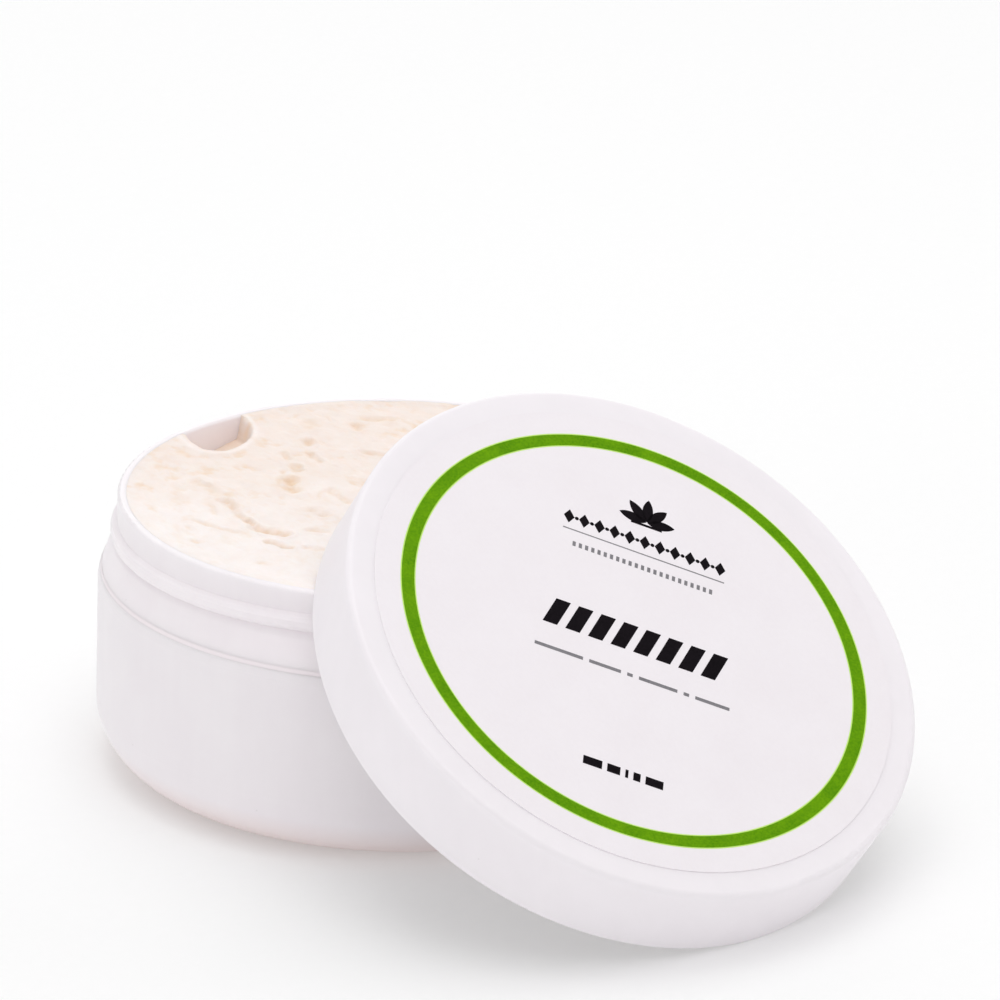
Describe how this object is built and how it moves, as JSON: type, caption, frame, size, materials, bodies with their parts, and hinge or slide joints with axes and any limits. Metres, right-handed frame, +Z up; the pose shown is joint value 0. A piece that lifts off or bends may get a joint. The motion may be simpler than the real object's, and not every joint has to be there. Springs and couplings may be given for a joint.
{
  "type": "shaving soap puck",
  "caption": "Open double-walled screw-top jar of soft shaving soap, with its flat smooth lid leaning on the rim.",
  "frame": {"origin": "centre of the jar's foot, on the surface that it stands on", "axes": "+Z up along the jar's axis; the lid leans from the jar's rim down towards -Y; +X to the right when the lid is in front"},
  "size_m": [0.0908, 0.1362, 0.0626],
  "materials": {
    "shell_plastic": "satin, slightly translucent white",
    "cup_plastic": "satin, slightly translucent white",
    "soap": "soft cream-coloured soap, moist sheen",
    "lid_plastic": "satin white",
    "liner_foam": "matt closed-cell foam",
    "label_paper": "printed paper label, green ring"
  },
  "bodies": {
    "jar": {"outer_shell": "shell_plastic", "inner_cup": "cup_plastic", "soap_fill": "soap"},
    "liner": {"lid_liner": "liner_foam"},
    "lid": {"lid_shell": "lid_plastic", "label_disc": "label_paper"}
  },
  "joints": [
    {"name": "lid_swing", "type": "hinge", "parent": "jar", "child": "liner", "pos_m": [0, 0.04106, -0.02779], "axis": [-1, 0, 0], "range_deg": [0, 35]},
    {"name": "lid_turn", "type": "hinge", "parent": "liner", "child": "lid", "pos_m": [0, -0.0544, 0.03696], "axis": [0, -0.5736, 0.8192], "range_deg": [-360, 0]}
  ]
}
